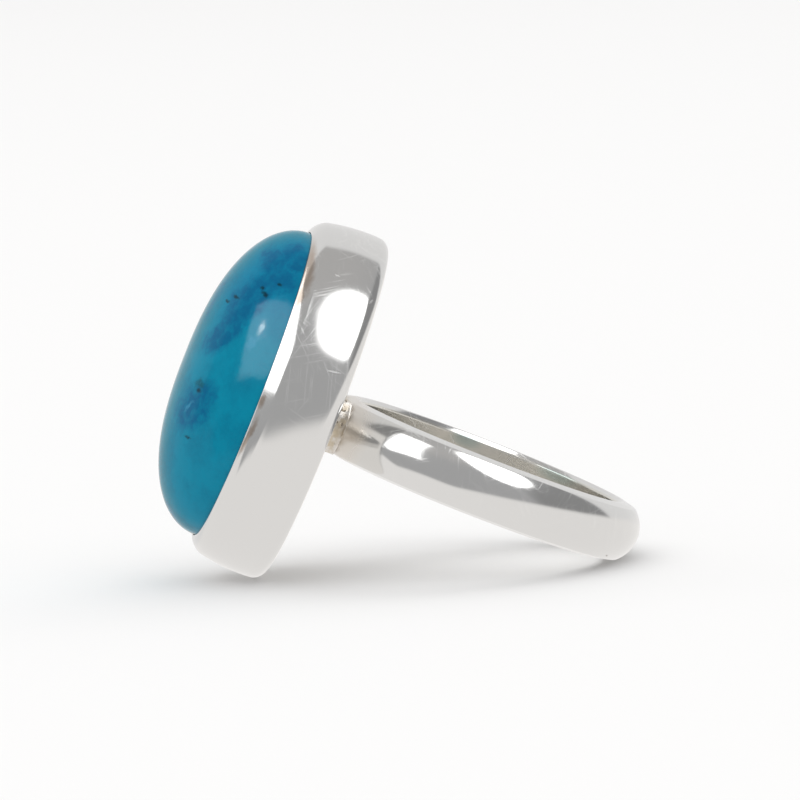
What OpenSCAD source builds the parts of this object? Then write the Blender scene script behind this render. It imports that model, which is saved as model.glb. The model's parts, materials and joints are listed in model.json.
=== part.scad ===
// Oval cabochon ring in silver, lying on its side on the tip of its bezel and the rim of its band.
// The ring's own frame has the finger axis along Z and the stone towards -X.
// The last step tilts that frame until both resting points touch the floor at Z = 0.

/* [Finger band] */
// Inside diameter of the band
bore_d = 17.5; // [15.5:0.1:20.5]
// Height of the band along the finger
band_w = 3.8; // [3.2:0.1:5]
// Thickness of the band at its crown
band_t = 2.0; // [1.6:0.1:2.3]
// Rounding along the band's two rims
rim_r = 0.4; // [0.25:0.05:0.5]

/* [Bezel] */
// Length of the bezel at its back
bezel_l = 23.0; // [20:0.1:25]
// Width of the bezel at its back
bezel_w = 17.0; // [14:0.1:18]
// Depth of the bezel from its back to its lip
bezel_d = 5.0; // [4.2:0.1:6.5]
// Inward lean of the bezel's wall, in degrees
wall_lean = 4.5; // [0:0.1:6]
// Thickness of the bezel's wall
wall_t = 0.45; // [0.35:0.05:0.6]
// Thickness of the closed back plate
plate_t = 0.8; // [0.6:0.1:1.2]
// Rounding of the bezel's back edge
back_r = 0.8; // [0.4:0.1:1.2]
// Rounding of the lip that curls over the stone
lip_r = 0.9; // [0.6:0.1:1]
// Flat land on top of the lip
lip_land = 0.1; // [0.05:0.05:0.3]
// How far the bezel's middle stands above the band's middle
bezel_rise = 0.4; // [-1:0.1:1]

/* [Stone] */
// Height of the dome above the lip
dome_h = 4.6; // [3:0.1:6]
// Fullness of the dome's outline, where 2 is an ellipse
dome_fullness = 2.5; // [2:0.1:3]
// Clearance between the stone and the metal
stone_gap = 0.05; // [0.03:0.01:0.1]

/* [Solder seat] */
// Radius of the solder fillet between the band's crown and the back plate
seat_fillet = 1.0; // [0.6:0.1:1.4]
// Drop of the solder seat's top and bottom below the band's rims
seat_drop = 0.1; // [0.05:0.05:0.3]

/* [Hidden] */
$fn = 96;

arc_steps = 6;
crown_steps = 16;
dome_steps = 20;

bore_r = bore_d / 2;
band_r = bore_r + band_t;
half_w = band_w / 2;

// The back plate's outer face stands a little inside the band's crown, so the two are one metal
plate_sink = 0.06;
plate_x = -(band_r - plate_sink);

half_l = bezel_l / 2;
width_ratio = bezel_w / bezel_l;
inner_ratio = (bezel_w / 2 - wall_t) / (half_l - wall_t);

// Centres of the two roundings on the bezel's outer profile, as radius and height above the back
back_c = [half_l - back_r, back_r];
lip_c = [
    back_c.x + (back_r - lip_r - (bezel_d - lip_r - back_r) * sin(wall_lean)) / cos(wall_lean),
    bezel_d - lip_r
];

// Inner wall of the bezel: its radius at the plate, under the lip's curl, and at the mouth
curl_share = 1.3;
floor_r = half_l - wall_t;
curl_h = bezel_d - curl_share * lip_r;
curl_r = floor_r - (curl_h - plate_t) * tan(wall_lean);
mouth_r = lip_c.x - lip_land;

// The band's crown is an arc that meets both rim roundings without a corner
rim_c = [bore_r + rim_r, half_w - rim_r];
rim_back = rim_c.x - band_r;
crown_r = (pow(rim_back, 2) + pow(rim_c.y, 2) - pow(rim_r, 2)) / (-2 * (rim_back + rim_r));
crown_c = band_r - crown_r;
crown_end = atan2(rim_c.y, rim_c.x - crown_c);

// Chamfer around the stone's hidden underside, which clears the bezel's inner corner
stone_chamfer = back_r / 4;

// Centre of the fillet's arc, which touches the plate on one side and the band's crown on the other
fillet_c = [
    plate_x + seat_fillet,
    sqrt(pow(band_r + seat_fillet, 2) - pow(plate_x + seat_fillet, 2))
];
fillet_end = 360 - atan2(fillet_c.y, -fillet_c.x);
seat_root_x = plate_x - plate_t / 2;
seat_nose_x = -(bore_r + rim_r);
seat_nose_share = 0.7;

// Points of an arc from one angle to another
function arc(c, r, from, to, steps) = [
    for (i = [0:steps])
        let (a = from + (to - from) * i / steps)
        [c.x + r * cos(a), c.y + r * sin(a)]
];

band_profile = concat(
    arc([crown_c, 0], crown_r, -crown_end, crown_end, crown_steps),
    arc(rim_c, rim_r, crown_end, 180, arc_steps),
    arc([rim_c.x, -rim_c.y], rim_r, 180, 360 - crown_end, arc_steps)
);

dome_profile = [
    for (i = [0:dome_steps])
        let (a = 90 * i / dome_steps)
        [
            (mouth_r - stone_gap) * pow(cos(a), 2 / dome_fullness),
            bezel_d + dome_h * sin(a)
        ]
];

// Tilt at which the bezel's back edge and the band's rim rest on one floor
rest_reach = [bore_r + rim_r - (plate_x - back_r), half_l - back_r - bezel_rise - rim_c.y];
rest_tilt = atan2(rest_reach.y, rest_reach.x) + asin((back_r - rim_r) / norm(rest_reach));
rest_lift = rim_c.x * sin(rest_tilt) + rim_c.y * cos(rest_tilt) + rim_r;

// Reach of the tilted ring along X on both sides, to centre it over the origin
stone_reach = min([
    for (p = dome_profile)
        (plate_x - p.y) * cos(rest_tilt) + (bezel_rise - p.x) * sin(rest_tilt)
]);
band_reach = max([for (p = band_profile) p.x * cos(rest_tilt) + p.y * sin(rest_tilt)]);
rest_shift = -(stone_reach + band_reach) / 2;

// Lays the ring down on its two resting points
module at_rest() {
    translate([rest_shift, 0, rest_lift])
        rotate([0, rest_tilt, 0])
            children();
}

// Turns a body that was made standing on its back so that it faces -X on the band
module facing_out() {
    translate([plate_x, 0, bezel_rise])
        rotate([0, -90, 0])
            children();
}

// Oval body turned from the profile in its children, a quarter at a time, then narrowed
module oval_turning(ratio) {
    scale([1, ratio, 1])
        for (quarter = [0:90:270])
            rotate([0, 0, quarter])
                rotate_extrude(angle = 90)
                    children();
}

// Half-round band whose inside is a true cylinder
module band() {
    rotate_extrude()
        polygon(band_profile);
}

// Bezel cup: leaning wall, rounded back edge and lip curled over the stone
module bezel() {
    difference() {
        oval_turning(width_ratio)
            polygon(concat(
                [[0, 0]],
                arc(back_c, back_r, -90, wall_lean, arc_steps),
                arc(lip_c, lip_r, wall_lean, 90, arc_steps),
                [[0, bezel_d]]
            ));
        oval_turning(inner_ratio)
            polygon([
                [0, plate_t],
                [floor_r, plate_t],
                [curl_r, curl_h],
                [mouth_r, bezel_d],
                [mouth_r, bezel_d + 1],
                [0, bezel_d + 1]
            ]);
    }
}

// Solder seat: fillets on both sides of the contact line, fading in height along the crown
module solder_seat() {
    fillet_arc = arc(fillet_c, seat_fillet, 180, fillet_end, 2 * arc_steps);
    half_outline = concat(
        [[seat_root_x, fillet_c.y]],
        fillet_arc,
        [[seat_nose_x, fillet_c.y * seat_nose_share]]
    );
    last = len(half_outline) - 1;
    seat_h = band_w - 2 * seat_drop;
    intersection() {
        translate([0, 0, -half_w])
            linear_extrude(band_w)
                polygon(concat(
                    half_outline,
                    [for (i = [last:-1:0]) [half_outline[i].x, -half_outline[i].y]]
                ));
        translate([seat_root_x - plate_t, 0, 0])
            rotate([0, 90, 0])
                scale([seat_h / 2, fillet_c.y, 1])
                    cylinder(h = seat_nose_x - seat_root_x + 2 * plate_t, r = 1);
    }
}

// All the soldered silver as one solid
module setting() {
    color("silver")
        at_rest()
            union() {
                band();
                facing_out() bezel();
                solder_seat();
            }
}

// Turquoise cabochon: a girdle that follows the bezel's inside, and a full dome above the lip
module stone() {
    girdle_r = floor_r - stone_gap;
    girdle_h = plate_t + stone_gap;
    color("darkcyan")
        at_rest()
            facing_out()
                oval_turning(inner_ratio)
                    polygon(concat(
                        [
                            [0, girdle_h],
                            [girdle_r - stone_chamfer, girdle_h],
                            [girdle_r, girdle_h + stone_chamfer],
                            [curl_r - stone_gap, curl_h]
                        ],
                        dome_profile
                    ));
}

setting();
stone();
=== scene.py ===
# Turquoise ring in silver, lying on its side on a pale floor
import bpy
import json
from math import radians, pi, sin, cos, tan, asin, atan2, sqrt
from mathutils import Matrix, Vector

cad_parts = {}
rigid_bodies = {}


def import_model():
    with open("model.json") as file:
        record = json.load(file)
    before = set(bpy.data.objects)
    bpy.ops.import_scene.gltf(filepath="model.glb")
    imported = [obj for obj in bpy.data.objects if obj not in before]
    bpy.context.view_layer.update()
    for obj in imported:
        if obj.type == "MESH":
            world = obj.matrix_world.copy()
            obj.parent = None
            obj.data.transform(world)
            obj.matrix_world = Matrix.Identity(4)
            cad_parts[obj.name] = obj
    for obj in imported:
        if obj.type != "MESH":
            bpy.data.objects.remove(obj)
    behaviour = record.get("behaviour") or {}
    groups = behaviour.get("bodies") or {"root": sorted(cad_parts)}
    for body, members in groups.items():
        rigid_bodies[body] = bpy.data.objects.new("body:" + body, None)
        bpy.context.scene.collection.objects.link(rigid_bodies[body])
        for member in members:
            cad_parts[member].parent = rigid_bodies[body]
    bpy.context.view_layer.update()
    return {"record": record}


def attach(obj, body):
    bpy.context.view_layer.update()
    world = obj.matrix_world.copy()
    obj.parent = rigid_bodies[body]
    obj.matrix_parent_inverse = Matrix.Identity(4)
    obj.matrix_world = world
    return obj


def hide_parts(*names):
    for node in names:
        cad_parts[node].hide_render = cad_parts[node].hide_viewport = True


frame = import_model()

mm = 0.001
touch = 0.001   # how near a vertex lies, in millimetres, to count as on a line or plane
weld = 0.002   # vertices nearer than this, in millimetres, are merged
crease = radians(40)   # edges that turn more than this stay crisp

# The ring's own frame: finger axis along Z, stone towards -X
mount = frame["record"]["mounts"][0]
ringPos = Vector(mount["pos_m"])
ringTilt = atan2(mount["axis"][0], mount["axis"][2])
ringPlace = Matrix.Translation(ringPos) @ Matrix.Rotation(ringTilt, 4, "Y")
boreRadius = mount["dims"]["r_mm"]


# Small helpers for selecting, shaping and placing a piece

def deselectAll():
    for thing in bpy.context.scene.objects:
        thing.select_set(False)


def selectOnly(piece):
    deselectAll()
    bpy.context.view_layer.objects.active = piece
    piece.select_set(True)


def startEdit(piece):
    selectOnly(piece)
    bpy.ops.object.mode_set(mode="EDIT")


def endEdit():
    bpy.ops.object.mode_set(mode="OBJECT")


def pick(piece, test):   # selects the vertices that pass the test, from object mode
    bpy.ops.object.mode_set(mode="EDIT")
    bpy.ops.mesh.select_mode(type="VERT")
    bpy.ops.mesh.select_all(action="DESELECT")
    bpy.ops.object.mode_set(mode="OBJECT")
    for vertex in piece.data.vertices:
        vertex.select = test(vertex)
    bpy.ops.object.mode_set(mode="EDIT")


def addModifier(piece, kind, **settings):
    modifier = piece.modifiers.new(kind.lower(), kind)
    for key, value in settings.items():
        setattr(modifier, key, value)
    bpy.ops.object.modifier_apply(modifier=modifier.name)


def makeReal(piece):   # turns and sizes go into the mesh, and the object is left at the origin
    selectOnly(piece)
    bpy.ops.object.transform_apply(location=True, rotation=True, scale=True)


def putOnRing(piece, node):   # from the ring's frame to the place where it lies
    piece.matrix_world = ringPlace @ piece.matrix_world
    makeReal(piece)
    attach(piece, "root")
    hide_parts(node)


def cleanShell(piece):   # one closed skin with its faces outwards
    startEdit(piece)
    bpy.ops.mesh.select_all(action="SELECT")
    bpy.ops.mesh.remove_doubles(threshold=weld * mm)
    bpy.ops.mesh.normals_make_consistent(inside=False)
    endEdit()


def softLumps(piece, size, depth, middle=0.75, group=""):   # clouds move the surface a little
    clouds = bpy.data.textures.new(piece.name + "Lumps", "CLOUDS")
    clouds.noise_scale = size * mm
    clouds.noise_depth = 1
    addModifier(piece, "DISPLACE", texture=clouds, texture_coords="LOCAL",
                strength=depth * mm, mid_level=middle, vertex_group=group)


class OvalTurner:   # raises the top face of a round plate, ring by ring, to an oval body

    def __init__(self, name, radius, ratio, height, segments):
        deselectAll()
        bpy.ops.mesh.primitive_circle_add(vertices=segments, radius=radius * mm, fill_type="NGON",
                                          location=(0, 0, height * mm))
        self.piece = bpy.context.object
        self.piece.name = self.piece.data.name = name
        makeReal(self.piece)
        startEdit(self.piece)
        bpy.ops.mesh.select_mode(type="FACE")
        bpy.ops.mesh.select_all(action="SELECT")
        bpy.ops.transform.resize(value=(1, ratio, 1), center_override=(0, 0, 0))
        self.long, self.wide, self.height = radius, radius * ratio, height

    def rise(self, long, wide, height):
        step = (height - self.height) * mm
        bpy.ops.mesh.extrude_region_move(TRANSFORM_OT_translate={"value": (0, 0, step)})
        bpy.ops.transform.resize(value=(long / self.long, wide / self.wide, 1),
                                 center_override=(0, 0, 0))
        self.long, self.wide, self.height = long, wide, height

    def closePole(self):
        bpy.ops.mesh.merge(type="CENTER")


# Shader maths: one wrapped socket, and one method that adds any other node

class Wire:

    def __init__(self, tree, socket=None):
        self.tree, self.socket = tree, socket

    def node(self, kind, settings=None, inputs=None, output=0):
        made = self.tree.nodes.new(kind)
        for key, value in (settings or {}).items():
            setattr(made, key, value)
        for key, value in (inputs or {}).items():
            if isinstance(value, Wire):
                self.tree.links.new(value.socket, made.inputs[key])
            else:
                made.inputs[key].default_value = value
        return Wire(self.tree, made.outputs[output] if made.outputs else None)

    def maths(self, operation, first, second):
        return self.node("ShaderNodeMath", {"operation": operation}, {0: first, 1: second})

    def __add__(self, other):
        return self.maths("ADD", self, other)

    __radd__ = __add__

    def __sub__(self, other):
        return self.maths("SUBTRACT", self, other)

    def __rsub__(self, other):
        return self.maths("SUBTRACT", other, self)

    def __mul__(self, other):
        return self.maths("MULTIPLY", self, other)

    __rmul__ = __mul__


def startFinish(name):
    material = bpy.data.materials.new(name)
    material.use_nodes = True
    material.node_tree.nodes.clear()
    return material, Wire(material.node_tree)


def fadeBetween(paint, value, start, end):   # 0 at start, 1 at end, smooth
    return paint.node("ShaderNodeMapRange", {"interpolation_type": "SMOOTHSTEP"},
                      {"Value": value, "From Min": start, "From Max": end,
                       "To Min": 0.0, "To Max": 1.0})


def blend(paint, factor, first, second):   # 6 and 7 are the mix's colour inputs, 2 its colour output
    return paint.node("ShaderNodeMix", {"data_type": "RGBA"}, {0: factor, 6: first, 7: second}, 2)


def noise(paint, coords, scale, detail=2.0, roughness=0.5):
    return paint.node("ShaderNodeTexNoise", None,
                      {"Vector": coords, "Scale": scale, "Detail": detail, "Roughness": roughness})


def ringCoords(paint):   # object coordinates turned back to the ring's frame, in millimetres
    coords = paint.node("ShaderNodeTexCoord", None, None, "Object")
    return paint.node("ShaderNodeMapping", {"vector_type": "TEXTURE"},
                      {"Vector": coords, "Location": ringPos,
                       "Rotation": (0, ringTilt, 0), "Scale": (mm, mm, mm)})


def grey(level, warmth=0.0):
    return (level * (1 + warmth), level, level * (1 - warmth), 1.0)


# Camera at the photograph's angle
view = dict(distance=0.450, azimuth=-5.2467, elevation=5.8029, lean=2.7756,
            aim=(0.000435, 0.000954, 0.010607), focal=319.54, sensor=36.0, near=0.01, far=20.0)


def outward(azimuth, elevation):   # unit vector away from the ring, from two angles in degrees
    a, e = radians(azimuth), radians(elevation)
    return Vector((sin(a) * cos(e), -cos(a) * cos(e), sin(e)))


def makeCamera():
    azimuth, lean = radians(view["azimuth"]), radians(view["lean"])
    back = outward(view["azimuth"], view["elevation"])
    level = Vector((cos(azimuth), sin(azimuth), 0))
    upright = back.cross(level)
    right = level * cos(lean) - upright * sin(lean)
    up = upright * cos(lean) + level * sin(lean)
    turn = Matrix((right, up, back)).transposed().to_4x4()
    data = bpy.data.cameras.new("camera")
    data.lens = view["focal"]
    data.sensor_width = view["sensor"]
    data.clip_start, data.clip_end = view["near"], view["far"]
    camera = bpy.data.objects.new("camera", data)
    camera.matrix_world = Matrix.Translation(Vector(view["aim"]) + back * view["distance"]) @ turn
    bpy.context.scene.collection.objects.link(camera)
    bpy.context.scene.camera = camera


makeCamera()
print("camera set")


# Finger band: a half-round wire with a narrow land along each rim and a soft inner edge
# Ends are given as height along the finger, or as radius and height
band = dict(thick=2.0, inset=0.01, crown=2.2, crownTurn=48.0, crownEnd=1.70,
            landEnd=(9.20, 1.885), topEnd=(9.02, 1.87), innerEdge=1.58, softCorner=0.06,
            cornerSteps=4, crownSteps=120, turnSteps=256)


def crownShape():   # radius and centre of the arc in the band's section
    return band["crown"], boreRadius + band["thick"] - band["inset"] - band["crown"]


def onCrown(z):
    crown, centre = crownShape()
    return Vector((centre + sqrt(crown ** 2 - z ** 2), z))


def softPath(points, size, steps):   # the same way with every corner turned softly
    path = []
    for before, corner, after in zip(points, points[1:], points[2:]):
        back, on = (before - corner).normalized() * size, (after - corner).normalized() * size
        for i in range(steps + 1):
            t = i / steps
            path.append(corner + back * (1 - t) ** 2 + on * t ** 2)
    return path + [points[-1]]


def makeBand():
    crown, centre = crownShape()
    soft, wall = band["softCorner"], boreRadius + band["inset"]
    crownStop = crown * sin(radians(band["crownTurn"]))   # on one of the circle's own vertices
    deselectAll()
    bpy.ops.mesh.primitive_circle_add(vertices=band["crownSteps"], radius=crown * mm,
                                      location=(centre * mm, 0, 0), rotation=(pi / 2, 0, 0))
    piece = bpy.context.object
    piece.name = piece.data.name = "fingerBand"
    makeReal(piece)
    pick(piece, lambda v: v.co.x < centre * mm or abs(v.co.z) > (crownStop + touch) * mm)
    bpy.ops.mesh.delete(type="VERT")
    endEdit()
    # From each end of the crown: along the land, over the top, down the inner edge to the bore
    turns = [onCrown(crownStop), onCrown(band["crownEnd"]), Vector(band["landEnd"]),
             Vector(band["topEnd"]), Vector((wall, band["innerEdge"])),
             Vector((wall, band["innerEdge"] - 2 * soft))]
    for side in (1, -1):
        pick(piece, lambda v: abs(v.co.z * side - crownStop * mm) < touch * mm)
        last = turns[0]
        for spot in softPath(turns, soft, band["cornerSteps"]):
            step = ((spot.x - last.x) * mm, 0, side * (spot.y - last.y) * mm)
            bpy.ops.mesh.extrude_vertices_move(TRANSFORM_OT_translate={"value": step})
            last = spot
        endEdit()
    # Both last vertices lie on the bore, and one edge closes the section between them
    pick(piece, lambda v: abs(v.co.x - wall * mm) < touch * mm
         and abs(v.co.z) < (turns[-1].y + touch) * mm)
    bpy.ops.mesh.edge_face_add()
    bpy.ops.mesh.select_mode(type="EDGE")
    bpy.ops.mesh.select_all(action="SELECT")
    bpy.ops.mesh.spin(steps=band["turnSteps"], angle=2 * pi, center=(0, 0, 0), axis=(0, 0, 1))
    endEdit()
    cleanShell(piece)
    bpy.ops.object.shade_smooth_by_angle(angle=crease)
    return piece


fingerBand = makeBand()
print("band spun:", len(fingerBand.data.polygons), "faces")


# Bezel cup: closed back, barrelled wall, lip curled over the stone, open inside for the girdle
bezel = dict(long=23.0, wide=17.0, deep=5.0, lean=4.5, wall=0.45, plate=0.8,
             edgeRound=0.8, edgeInset=0.02, lipRound=0.9, lipLand=0.1, curlShare=1.3,
             rise=0.4, back=-10.69, barrel=8.0, bevel=1.5, lumpSize=2.6, lump=0.02,
             segments=288, edgeSteps=10, wallSteps=14, lipSteps=16)


def placeOnBand(piece):   # from lying on its back to standing on the band, facing -X
    turn = Matrix.Rotation(radians(-90), 4, "Y")
    piece.matrix_world = Matrix.Translation((bezel["back"] * mm, 0, bezel["rise"] * mm)) @ turn
    makeReal(piece)


def bezelInside():   # half-length of the mouth, of the curl's foot and of the floor, and the ratio
    half = bezel["long"] / 2
    lean = radians(bezel["lean"])
    lipX = half - bezel["edgeRound"] + (
        bezel["edgeRound"] - bezel["lipRound"]
        - (bezel["deep"] - bezel["lipRound"] - bezel["edgeRound"]) * sin(lean)) / cos(lean)
    floor = half - bezel["wall"]
    curlHeight = bezel["deep"] - bezel["curlShare"] * bezel["lipRound"]
    curl = floor - (curlHeight - bezel["plate"]) * tan(lean)
    ratio = (bezel["wide"] / 2 - bezel["wall"]) / floor
    return lipX, lipX - bezel["lipLand"], curl, curlHeight, floor, ratio


def makeBezel():
    half = bezel["long"] / 2
    ratio = bezel["wide"] / bezel["long"]
    lean, barrel = radians(bezel["lean"]), radians(bezel["barrel"])
    lipX, mouth, curl, curlHeight, floor, innerRatio = bezelInside()
    lipHeight = bezel["deep"] - bezel["lipRound"]
    edgeRound = bezel["edgeRound"]
    edgeX = half - edgeRound - bezel["edgeInset"]

    cup = OvalTurner("bezelCup", edgeX, ratio, 0.0, bezel["segments"])
    edgeSteps, wallSteps, lipSteps = (bezel[key] for key in ("edgeSteps", "wallSteps", "lipSteps"))
    startAngle = lean - barrel
    for i in range(1, edgeSteps + 1):
        a = -pi / 2 + (startAngle + pi / 2) * i / edgeSteps
        r = edgeX + edgeRound * cos(a)
        cup.rise(r, r * ratio, edgeRound * (1 + sin(a)))
    # The wall is a slight barrel, so its reflections turn between the back and the lip
    endAngle = lean + barrel
    startR, startH = cup.long, cup.height
    wallRadius = (lipHeight - startH) / (sin(endAngle) - sin(startAngle))
    for i in range(1, wallSteps + 1):
        a = startAngle + (endAngle - startAngle) * i / wallSteps
        r = startR + wallRadius * (cos(a) - cos(startAngle))
        h = startH + wallRadius * (sin(a) - sin(startAngle))
        cup.rise(r, r * ratio, h)
    # The lip is burnished over the stone to a soft bevel
    lipWide = cup.long - lipX
    for i in range(1, lipSteps + 1):
        a = pi / 2 * i / lipSteps
        r = lipX + lipWide * max(cos(a), 0) ** (2 / bezel["bevel"])
        h = lipHeight + bezel["lipRound"] * sin(a) ** (2 / bezel["bevel"])
        cup.rise(r, r * ratio, h)
    cup.rise(mouth, mouth * innerRatio, bezel["deep"])
    cup.rise(curl, curl * innerRatio, curlHeight)
    cup.rise(floor, floor * innerRatio, bezel["plate"])
    endEdit()
    piece = cup.piece
    cleanShell(piece)
    placeOnBand(piece)
    softLumps(piece, bezel["lumpSize"], bezel["lump"])
    bpy.ops.object.shade_smooth_by_angle(angle=crease)
    return piece


bezelCup = makeBezel()
print("bezel raised:", len(bezelCup.data.polygons), "faces")


# Solder seat: solder between the band's crown and the back plate, hollowed on both sides
seat = dict(fillet=0.5, high=3.5, rootDepth=0.4, nose=9.6, grain=0.07, smoothing=4,
            lumpSize=0.40, lump=0.12, lumpMiddle=0.45, lumpReach=0.8, leastLump=0.12,
            spoolHalf=2.6, spoolSteps=16, spoolSides=64, waistEnd=0.93)


def makeSeat():
    crownTop = boreRadius + band["thick"]
    filletX = bezel["back"] + seat["fillet"]
    filletY = sqrt((crownTop + seat["fillet"]) ** 2 - filletX ** 2)
    root = bezel["back"] - seat["rootDepth"]
    deselectAll()
    bpy.ops.mesh.primitive_cube_add(size=1)
    piece = bpy.context.object
    piece.name = piece.data.name = "solderSeat"
    piece.location.x = (root - seat["nose"]) / 2 * mm
    piece.scale = ((-seat["nose"] - root) * mm, 2 * filletY * mm, seat["high"] * mm)
    makeReal(piece)
    for side in (1, -1):
        cutter = makeSpool(filletX, side * filletY)
        selectOnly(piece)
        addModifier(piece, "BOOLEAN", object=cutter, operation="DIFFERENCE")
        bpy.data.objects.remove(cutter)
    addModifier(piece, "REMESH", mode="VOXEL", voxel_size=seat["grain"] * mm)
    addModifier(piece, "SMOOTH", factor=0.5, iterations=seat["smoothing"])
    nearPlate = piece.vertex_groups.new(name="nearPlate")
    for v in piece.data.vertices:
        reach = 1 - (v.co.x / mm - bezel["back"]) / seat["lumpReach"]
        nearPlate.add([v.index], min(1, max(seat["leastLump"], reach)), "REPLACE")
    softLumps(piece, seat["lumpSize"], seat["lump"], seat["lumpMiddle"], "nearPlate")
    cleanShell(piece)
    bpy.ops.object.shade_smooth()
    return piece


def makeSpool(x, y):   # waisted cutter, so the hollow follows the crown of the band
    crown = crownShape()[0]
    top, steps = seat["spoolHalf"], seat["spoolSteps"]

    def spread(z):
        return seat["fillet"] + crown - sqrt(crown ** 2 - min(abs(z), crown * seat["waistEnd"]) ** 2)

    spool = OvalTurner("spool", spread(-top), 1.0, -top, seat["spoolSides"])
    for i in range(1, steps + 1):
        z = -top + 2 * top * i / steps
        spool.rise(spread(z), spread(z), z)
    endEdit()
    cleanShell(spool.piece)
    spool.piece.location = (x * mm, y * mm, 0)
    makeReal(spool.piece)
    return spool.piece


solderSeat = makeSeat()
print("solder seat made:", len(solderSeat.data.polygons), "faces")


# Cabochon: a girdle inside the bezel and a full dome above the lip
cabochon = dict(dome=4.6, fullness=2.5, sideStart=29.0, gap=0.05, chamfer=0.2, tip=0.02,
                domeSteps=60, segments=288)


def makeCabochon():
    lipX, mouth, curl, curlHeight, floor, ratio = bezelInside()
    girdle = floor - cabochon["gap"]
    chamfer, tip = cabochon["chamfer"], cabochon["tip"]
    foot = bezel["plate"] + cabochon["gap"]
    stone = OvalTurner("cabochon", girdle - chamfer, ratio, foot, cabochon["segments"])
    stone.rise(girdle, girdle * ratio, foot + chamfer)
    waist = curl - cabochon["gap"]
    stone.rise(waist, waist * ratio, curlHeight)
    top = mouth - cabochon["gap"]
    # Full along its length, and a plain arc across that leaves the lip at an angle
    low = radians(cabochon["sideStart"])
    for i in range(cabochon["domeSteps"]):
        a = pi / 2 * i / cabochon["domeSteps"]
        across = asin(sin(low) + (1 - sin(low)) * sin(a))
        stone.rise(top * cos(a) ** (2 / cabochon["fullness"]),
                   top * ratio * cos(across) / cos(low), bezel["deep"] + cabochon["dome"] * sin(a))
    stone.rise(tip, tip * ratio, bezel["deep"] + cabochon["dome"])
    stone.closePole()
    endEdit()
    piece = stone.piece
    cleanShell(piece)
    placeOnBand(piece)
    bpy.ops.object.shade_smooth_by_angle(angle=crease)
    return piece


cabochonStone = makeCabochon()
print("cabochon made:", len(cabochonStone.data.polygons), "faces")


# Marks are placed in the ring's frame by X, Z, two half-sizes in millimetres and a turn in degrees
markReach = 1000   # half-size along Y, so a mark runs right through the ring


def markMask(paint, coords, mark, edge):
    x, z, halfX, halfZ, turn = mark
    local = paint.node("ShaderNodeMapping", {"vector_type": "TEXTURE"},
                       {"Vector": coords, "Location": (x, 0, z), "Rotation": (0, radians(turn), 0),
                        "Scale": (halfX, markReach, halfZ)})
    away = paint.node("ShaderNodeVectorMath", {"operation": "LENGTH"}, {0: local}, "Value")
    return fadeBetween(paint, away, 1 + edge, 1 - edge)


def allMarks(paint, coords, marks, edge):
    total = markMask(paint, coords, marks[0], edge)
    for mark in marks[1:]:
        total = paint.maths("MAXIMUM", total, markMask(paint, coords, mark, edge))
    return total


def wander(paint, coords, scale, reach):   # frays the outlines of what reads the result
    push = paint.node("ShaderNodeTexNoise", None,
                      {"Vector": coords, "Scale": scale, "Detail": 3.0, "Roughness": 0.6}, "Color")
    middle = (0.5, 0.5, 0.5)   # the level that a noise swings about
    push = paint.node("ShaderNodeVectorMath", {"operation": "SUBTRACT"}, {0: push, 1: middle})
    push = paint.node("ShaderNodeVectorMath", {"operation": "SCALE"}, {0: push, "Scale": reach})
    return paint.node("ShaderNodeVectorMath", {"operation": "ADD"}, {0: coords, 1: push})


def axisOf(paint, coords, index):
    return paint.node("ShaderNodeSeparateXYZ", None, {"Vector": coords}, index)


# Worn silver, with heat stain and rough solder where the band meets the bezel
silver = dict(colour=(0.730, 0.728, 0.722, 1.0), scratch=(0.86, 0.86, 0.85, 1.0),
              buffed=(0.90, 0.89, 0.87, 1.0), inside=(0.71, 0.69, 0.64, 1.0),
              stain=(0.79, 0.75, 0.70, 1.0), burnt=(0.62, 0.54, 0.42, 1.0),
              pit=(0.27, 0.23, 0.18, 1.0), brown=(0.42, 0.33, 0.26, 1.0),
              teal=(0.36, 0.47, 0.46, 1.0), rough=0.10, lumpHeight=2.2, pitDepth=3.0,
              bumpHeight=0.00005, bumpStrength=0.5)
silverShare = dict(scratch=0.45, stain=0.8, inside=0.8, teal=0.6, lip=0.75)   # of each colour
silverRough = dict(scratch=0.14, cloud=0.03, joint=0.20, inside=0.10, raw=0.12)   # added to rough
# Where each mask starts and where it is full, in millimetres or as a level of its noise
silverFade = dict(front=(0.5, -0.5), onBand=(-10.66, -10.60), atPlate=(-10.80, -10.74),
                  upper=(-2.5, 2.5), inside=(8.86, 8.80), joint=(-8.0, -9.2), raw=(-9.55, -10.05),
                  burnt=(0.36, 0.60), pits=(0.62, 0.68), line=(0.63, 0.71), linePatch=(0.46, 0.60))
# Each noise by its scale, detail and roughness
silverNoise = dict(cloud=(0.6, 3.0), burnt=(1.8, 3.0, 0.6), pits=(3.4, 2.0), ripple=(0.4, 0.0),
                   lumps=(2.6, 3.0, 0.6), line=(1.0, 1.0, 0.5), linePatch=(0.40, 1.0))
silverFray = dict(joint=(0.5, 0.8), lip=(1.6, 0.35))   # scale and reach of an uneven outline
silverEdge = dict(pits=0.35, lip=0.5, teal=0.6, nicks=0.5)   # softness of each kind of mark
lipStains = [(-15.50, 8.7, 0.34, 1.5, -6), (-15.50, 7.0, 0.20, 0.7, 0), (-15.55, 0.1, 0.16, 0.45, 0),
             (-15.50, -2.3, 0.14, 1.2, 4)]
bandPits = [(8.52, -1.42, 0.06, 0.04, 0)]
nicks = [(-11.20, 8.22, 0.07, 0.16, 20), (-13.71, 8.95, 0.16, 0.05, 0), (-12.05, 3.40, 0.45, 0.04, -8)]
tealMarks = [(5.6, 1.5, 1.1, 0.5, 0), (-0.5, 1.4, 0.9, 0.4, 0)]
scratchLays = [0.25, 0.8, 1.3, 1.9, 2.6]   # directions in the ring's upright plane, in radians
scratchSize = (4.0, 1.0, 0.08)   # along a line, into the ring and across the line
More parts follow.
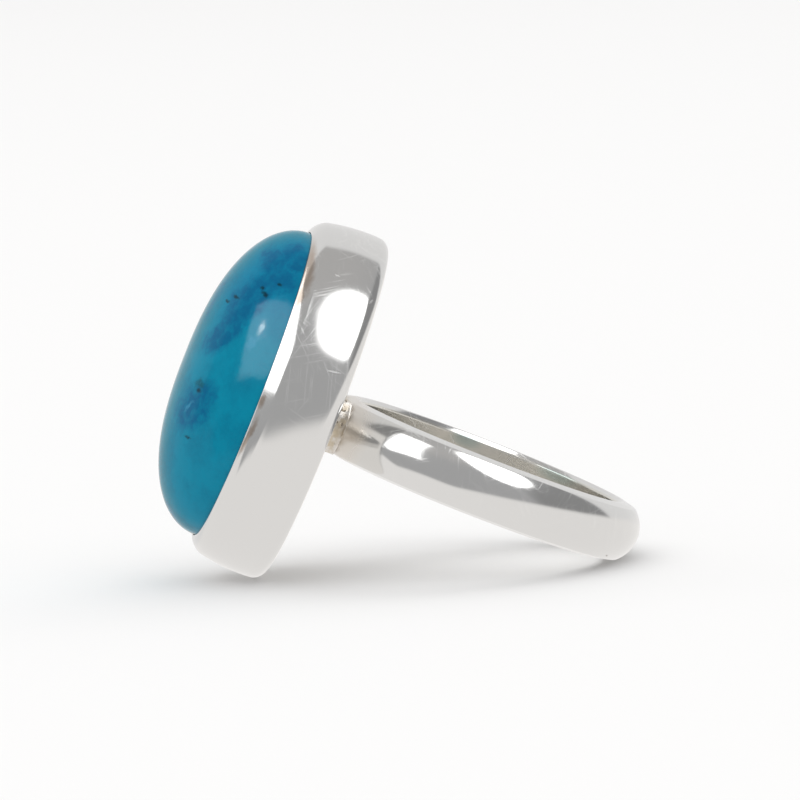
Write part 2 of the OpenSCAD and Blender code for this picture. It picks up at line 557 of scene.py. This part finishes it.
scratchShift = (7.3, 3.1, 5.7)   # from one direction's patches to the next one's
scratchOnPlate = 0.8   # share of the scratches that buffing took off the back plate
nickStrength = 2.0   # against a scratch


def scratchLines(paint, coords):   # fine lines, each direction in its own patches
    total = None
    for i, lay in enumerate(scratchLays):
        along = paint.node("ShaderNodeMapping", {"vector_type": "TEXTURE"},
                           {"Vector": coords, "Rotation": (0, lay, 0), "Scale": scratchSize})
        lines = fadeBetween(paint, noise(paint, along, *silverNoise["line"]), *silverFade["line"])
        shifted = paint.node("ShaderNodeMapping", None,
                             {"Vector": coords, "Location": [part * i for part in scratchShift]})
        lines = lines * fadeBetween(paint, noise(paint, shifted, *silverNoise["linePatch"]),
                                    *silverFade["linePatch"])
        total = lines if total is None else paint.maths("MAXIMUM", total, lines)
    return total


def silverFinish():
    material, paint = startFinish("wornSilver")
    coords = ringCoords(paint)
    x, y = axisOf(paint, coords, 0), axisOf(paint, coords, 1)
    front = fadeBetween(paint, y, *silverFade["front"])
    onBand = fadeBetween(paint, x, *silverFade["onBand"])
    atPlate = fadeBetween(paint, x, *silverFade["atPlate"]) * (1 - onBand)
    scratches = (scratchLines(paint, coords) * (1 - atPlate * scratchOnPlate)
                 * fadeBetween(paint, axisOf(paint, coords, 2), *silverFade["upper"]))
    cloud = noise(paint, coords, *silverNoise["cloud"])
    inPlane = paint.node("ShaderNodeVectorMath", {"operation": "MULTIPLY"}, {0: coords, 1: (1, 1, 0)})
    radius = paint.node("ShaderNodeVectorMath", {"operation": "LENGTH"}, {0: inPlane}, "Value")
    inside = fadeBetween(paint, radius, *silverFade["inside"])
    frayedX = axisOf(paint, wander(paint, coords, *silverFray["joint"]), 0)
    nearJoint = fadeBetween(paint, frayedX, *silverFade["joint"]) * onBand
    raw = fadeBetween(paint, frayedX, *silverFade["raw"]) * onBand
    burnt = fadeBetween(paint, noise(paint, coords, *silverNoise["burnt"]), *silverFade["burnt"])
    pits = fadeBetween(paint, noise(paint, coords, *silverNoise["pits"]), *silverFade["pits"]) * raw
    pits = paint.maths("MAXIMUM", pits, allMarks(paint, coords, bandPits, silverEdge["pits"]) * front)
    frayed = wander(paint, coords, *silverFray["lip"])
    lipStain = allMarks(paint, frayed, lipStains, silverEdge["lip"]) * front
    teal = allMarks(paint, coords, tealMarks, silverEdge["teal"]) * inside * (1 - front)
    nicked = allMarks(paint, coords, nicks, silverEdge["nicks"]) * front * nickStrength
    scratches = paint.maths("MAXIMUM", scratches, nicked)

    colour = blend(paint, scratches * silverShare["scratch"], silver["colour"], silver["scratch"])
    colour = blend(paint, atPlate, colour, silver["buffed"])
    colour = blend(paint, nearJoint * silverShare["stain"], colour, silver["stain"])
    colour = blend(paint, inside * silverShare["inside"], colour, silver["inside"])
    colour = blend(paint, teal * silverShare["teal"], colour, silver["teal"])
    colour = blend(paint, lipStain * silverShare["lip"], colour, silver["brown"])
    colour = blend(paint, raw * burnt, colour, silver["burnt"])
    colour = blend(paint, pits, colour, silver["pit"])

    rough = (silver["rough"] + scratches * silverRough["scratch"] + cloud * silverRough["cloud"]
             + nearJoint * silverRough["joint"] + inside * silverRough["inside"]
             + raw * silverRough["raw"])
    ripple = noise(paint, coords, *silverNoise["ripple"])
    lumps = noise(paint, coords, *silverNoise["lumps"]) * (raw * silver["lumpHeight"])
    lumps = lumps - pits * silver["pitDepth"]
    bump = paint.node("ShaderNodeBump", None,
                      {"Height": ripple + lumps, "Distance": silver["bumpHeight"],
                       "Strength": silver["bumpStrength"]})
    shader = paint.node("ShaderNodeBsdfPrincipled", None,
                        {"Base Color": colour, "Metallic": 1.0, "Roughness": rough, "Normal": bump})
    paint.node("ShaderNodeOutputMaterial", None, {"Surface": shader})
    return material


# Turquoise with a polished face: mottled body, bluer top, saturated patches and dark specks
turquoise = dict(body=(0.0, 0.203, 0.332, 1.0), light=(0.001, 0.270, 0.412, 1.0),
                 blue=(0.0, 0.190, 0.360, 1.0), deep=(0.0, 0.120, 0.262, 1.0),
                 speck=(0.002, 0.035, 0.060, 1.0), green=(0.002, 0.090, 0.120, 1.0),
                 milk=(0.060, 0.340, 0.540, 1.0), teal=(0.006, 0.192, 0.246, 1.0),
                 rough=0.09, grainRough=0.04, index=1.61, shine=0.09,
                 bumpHeight=0.00006, bumpStrength=0.5)
turquoiseShare = dict(light=0.75, blue=0.65, teal=0.7, green=0.7, milk=0.5, grain=0.34,
                      grainDrop=0.22, leastDeep=0.60, mottle=0.35)
# Fades, noises, uneven outlines and softness of marks, as for the silver
turquoiseFade = dict(cloud=(0.36, 0.64), front=(-0.6, -2.2), top=(2.6, 6.5), teal=(-3.4, -0.8),
                     elsewhere=(0.60, 0.70), mottle=(0.35, 0.60), grain=(0.35, 0.70))
turquoiseNoise = dict(grain=(4.5, 4.0, 0.7), cloud=(0.45, 4.0, 0.6), elsewhere=(0.30, 3.0),
                      mottle=(1.6, 1.5, 0.5), ripple=(0.5, 2.0))
turquoiseFray = dict(patches=(1.1, 1.1), specks=(4.0, 0.25))
turquoiseEdge = dict(deep=0.32, specks=0.6, green=0.5, milk=0.6)
deepPatches = [(-17.4, 8.1, 0.80, 0.90, 20), (-16.3, 9.0, 0.90, 0.80, 10), (-18.1, 5.6, 0.85, 2.0, 24),
               (-16.9, 7.4, 1.00, 0.80, 0), (-18.9, -1.9, 0.75, 1.70, 12), (-18.9, 3.0, 0.6, 1.6, 20)]
darkSpecks = [(-18.91, 5.33, 0.16, 0.10, 0), (-19.3, 4.9, 0.10, 0.10, 0), (-17.7, 6.5, 0.13, 0.10, 0),
              (-17.45, 6.2, 0.20, 0.13, 30), (-16.8, 7.1, 0.13, 0.10, 0), (-19.05, -0.9, 0.14, 0.14, 0),
              (-18.67, -3.9, 0.16, 0.10, 0)]
greenPatches = [(-19.0, -0.5, 0.26, 0.34, 20)]
# The first is a pale spot in the stone; the second is a painted highlight streak on the dome near the
# lip
milkSpotAndPaintedHighlight = [(-19.2, -2.1, 0.14, 0.36, 10), (-17.2, 3.2, 0.25, 0.5, 20)]


def turquoiseFinish():
    material, paint = startFinish("polishedTurquoise")
    coords = ringCoords(paint)
    frayed = wander(paint, coords, *turquoiseFray["patches"])
    grain = noise(paint, coords, *turquoiseNoise["grain"])
    cloud = fadeBetween(paint, noise(paint, frayed, *turquoiseNoise["cloud"]), *turquoiseFade["cloud"])
    front = fadeBetween(paint, axisOf(paint, coords, 1), *turquoiseFade["front"])
    top = fadeBetween(paint, axisOf(paint, frayed, 2), *turquoiseFade["top"])
    colour = blend(paint, cloud * turquoiseShare["light"], turquoise["body"], turquoise["light"])
    colour = blend(paint, top * turquoiseShare["blue"], colour, turquoise["blue"])
    greener = fadeBetween(paint, axisOf(paint, frayed, 1), *turquoiseFade["teal"])
    colour = blend(paint, greener * turquoiseShare["teal"], colour, turquoise["teal"])

    # Deep patches: those that the photograph shows, and others like them on the far half
    deep = allMarks(paint, frayed, deepPatches, turquoiseEdge["deep"]) * front
    elsewhere = fadeBetween(paint, noise(paint, frayed, *turquoiseNoise["elsewhere"]),
                            *turquoiseFade["elsewhere"]) * (1 - front)
    mottle = fadeBetween(paint, noise(paint, coords, *turquoiseNoise["mottle"]),
                         *turquoiseFade["mottle"])
    deep = (paint.maths("MAXIMUM", deep, elsewhere)
            * (turquoiseShare["leastDeep"] + mottle * turquoiseShare["mottle"]))
    colour = blend(paint, deep, colour, turquoise["deep"])
    green = allMarks(paint, frayed, greenPatches, turquoiseEdge["green"]) * front
    colour = blend(paint, green * turquoiseShare["green"], colour, turquoise["green"])
    # Pale colour: the first mark is the stone's own pale spot, the second a painted highlight
    milk = allMarks(paint, frayed, milkSpotAndPaintedHighlight, turquoiseEdge["milk"]) * front
    colour = blend(paint, milk * turquoiseShare["milk"], colour, turquoise["milk"])
    dotted = wander(paint, coords, *turquoiseFray["specks"])
    specks = allMarks(paint, dotted, darkSpecks, turquoiseEdge["specks"]) * front
    colour = blend(paint, specks, colour, turquoise["speck"])
    # The grain is calmer in the deep patches
    grained = (fadeBetween(paint, grain, *turquoiseFade["grain"])
               * (turquoiseShare["grain"] - deep * turquoiseShare["grainDrop"]))
    colour = blend(paint, grained, colour, turquoise["light"])

    ripple = noise(paint, coords, *turquoiseNoise["ripple"])
    bump = paint.node("ShaderNodeBump", None,
                      {"Height": ripple, "Distance": turquoise["bumpHeight"],
                       "Strength": turquoise["bumpStrength"]})
    rough = turquoise["rough"] + grain * turquoise["grainRough"]
    shader = paint.node("ShaderNodeBsdfPrincipled", None,
                        {"Base Color": colour, "Roughness": rough, "IOR": turquoise["index"],
                         "Specular IOR Level": turquoise["shine"], "Normal": bump})
    paint.node("ShaderNodeOutputMaterial", None, {"Surface": shader})
    return material


silverMaterial = silverFinish()
for piece, finish, slot, node in ((fingerBand, silverMaterial, "silver", "setting"),
                                  (bezelCup, silverMaterial, "silver", "setting"),
                                  (solderSeat, silverMaterial, "silver", "setting"),
                                  (cabochonStone, turquoiseFinish(), "turquoise", "stone")):
    piece.data.materials.clear()
    piece.data.materials.append(finish)
    putOnRing(piece, node)
print("finishes made")


# Pale floor, soft boxes and a grey room
studio = dict(centre=(-0.004, 0, 0.009), boxDistance=3.0, floorRadius=4.0, floorShade=0.88,
              floorRough=0.9, floorSides=96, fillPlace=(-0.3, -0.2, 1.6), fillSize=4.0,
              fillGlow=1.62)
softBoxes = [   # direction, size and turn in degrees, and the pieces that each one lights
    dict(name="bezelLeftBox", azimuth=-72, elevation=38.2, wide=99, high=34, turn=-6.4, glow=1.5,
         shape="RECTANGLE", pieces=(bezelCup,)),
    dict(name="bezelRightBox", azimuth=32.5, elevation=39.0, wide=29, high=43, turn=-42, glow=1.5,
         shape="ELLIPSE", pieces=(bezelCup,)),
    dict(name="bandLeftBox", azimuth=-67.7, elevation=54.3, wide=55.7, high=31.9, turn=-74, glow=1.6,
         shape="RECTANGLE", pieces=(fingerBand, solderSeat)),
    dict(name="bandRightBox", azimuth=55.1, elevation=55.7, wide=57, high=35.9, turn=45.8, glow=1.6,
         shape="ELLIPSE", pieces=(fingerBand, solderSeat)),
    dict(name="stoneBox", azimuth=-16.1, elevation=37.5, wide=39.3, high=99.8, turn=74.1, glow=6.5,
         shape="RECTANGLE", pieces=(cabochonStone,)),
    dict(name="stoneSpot", azimuth=-65.5, elevation=41.3, wide=4.5, high=4.5, turn=0, glow=40,
         shape="ELLIPSE", pieces=(cabochonStone,)),
]
room = dict(wall=grey(0.46), overhead=grey(0.51, 0.018), backdrop=grey(0.85, 0.008),
            flag=grey(0.31), table=grey(0.93, 0.022), seen=grey(1.0))
# Where the room's shades change, by direction: X to the right, Y away from the camera, Z up
shades = dict(overhead=(0.70, 0.95), backdrop=(0.26, 0.34), flagSide=(0.56, 0.76),
              flagTop=(0.62, 0.80), flagBack=(0.22, 0.36), table=(0.06, -0.09))
horizonLine = dict(drop=0.16, slope=0.23, leftFrom=(-0.45, -0.92), leftRise=0.22,
                   cornerSide=(-0.60, -0.90), cornerBack=(-0.30, -0.12), cornerRise=0.30)


def addSoftBox(box):
    back = outward(box["azimuth"], box["elevation"])
    distance = studio["boxDistance"]
    data = bpy.data.lights.new(box["name"], "AREA")
    data.shape = box["shape"]
    data.size = 2 * distance * tan(radians(box["wide"]) / 2)
    data.size_y = 2 * distance * tan(radians(box["high"]) / 2)
    data.energy = box["glow"] * data.size * data.size_y * pi
    light = bpy.data.objects.new(box["name"], data)
    turn = back.to_track_quat("Z", "Y").to_matrix().to_4x4()
    light.matrix_world = (Matrix.Translation(Vector(studio["centre"]) + back * distance) @ turn
                          @ Matrix.Rotation(radians(box["turn"]), 4, "Z"))
    light.visible_camera = light.visible_diffuse = False
    bpy.context.scene.collection.objects.link(light)
    lit = bpy.data.collections.new(box["name"] + "Lights")
    for piece in box["pieces"]:
        lit.objects.link(piece)
    light.light_linking.receiver_collection = lit


def makeFloor():
    deselectAll()
    bpy.ops.mesh.primitive_circle_add(vertices=studio["floorSides"],
                                      radius=studio["floorRadius"], fill_type="NGON")
    floor = bpy.context.object
    floor.name = "floor"
    floor.visible_glossy = False   # the room's own table colour is what the silver mirrors
    material, paint = startFinish("paleFloor")
    shader = paint.node("ShaderNodeBsdfPrincipled", None,
                        {"Base Color": grey(studio["floorShade"]),
                         "Roughness": studio["floorRough"],
                         "Specular IOR Level": 0.0})
    paint.node("ShaderNodeOutputMaterial", None, {"Surface": shader})
    floor.data.materials.append(material)


def addFill():   # soft light from above, hidden from the polished faces
    data = bpy.data.lights.new("fill", "AREA")
    data.size = studio["fillSize"]
    data.energy = studio["fillGlow"] * pi * pi * studio["fillPlace"][2] ** 2
    fill = bpy.data.objects.new("fill", data)
    fill.location = studio["fillPlace"]
    fill.visible_camera = fill.visible_glossy = False
    bpy.context.scene.collection.objects.link(fill)


def makeRoom():   # what the polished faces mirror, while the camera sees white
    world = bpy.data.worlds.new("room")
    bpy.context.scene.world = world
    world.use_nodes = True
    world.node_tree.nodes.clear()
    sky = Wire(world.node_tree)
    away = sky.node("ShaderNodeTexCoord", None, None, "Generated")
    x, y, z = (axisOf(sky, away, i) for i in range(3))
    colour = blend(sky, fadeBetween(sky, z, *shades["overhead"]), room["wall"], room["overhead"])
    colour = blend(sky, fadeBetween(sky, y, *shades["backdrop"]), colour, room["backdrop"])
    side = (fadeBetween(sky, x, *shades["flagSide"]) * (1 - fadeBetween(sky, z, *shades["flagTop"]))
            * (1 - fadeBetween(sky, y, *shades["flagBack"])))
    colour = blend(sky, side, colour, room["flag"])
    left = fadeBetween(sky, x, *horizonLine["leftFrom"]) * horizonLine["leftRise"]
    corner = (fadeBetween(sky, x, *horizonLine["cornerSide"])
              * fadeBetween(sky, y, *horizonLine["cornerBack"]) * horizonLine["cornerRise"])
    horizon = z + horizonLine["drop"] - x * horizonLine["slope"] - left - corner
    colour = blend(sky, fadeBetween(sky, horizon, *shades["table"]), colour, room["table"])
    seen = sky.node("ShaderNodeLightPath", None, None, "Is Camera Ray")
    colour = blend(sky, seen, colour, room["seen"])
    shade = sky.node("ShaderNodeBackground", None, {"Color": colour, "Strength": 1.0})
    sky.node("ShaderNodeOutputWorld", None, {"Surface": shade})


makeFloor()
for box in softBoxes:
    addSoftBox(box)
addFill()
makeRoom()
bpy.context.scene.view_settings.view_transform = "Standard"
print("studio set")
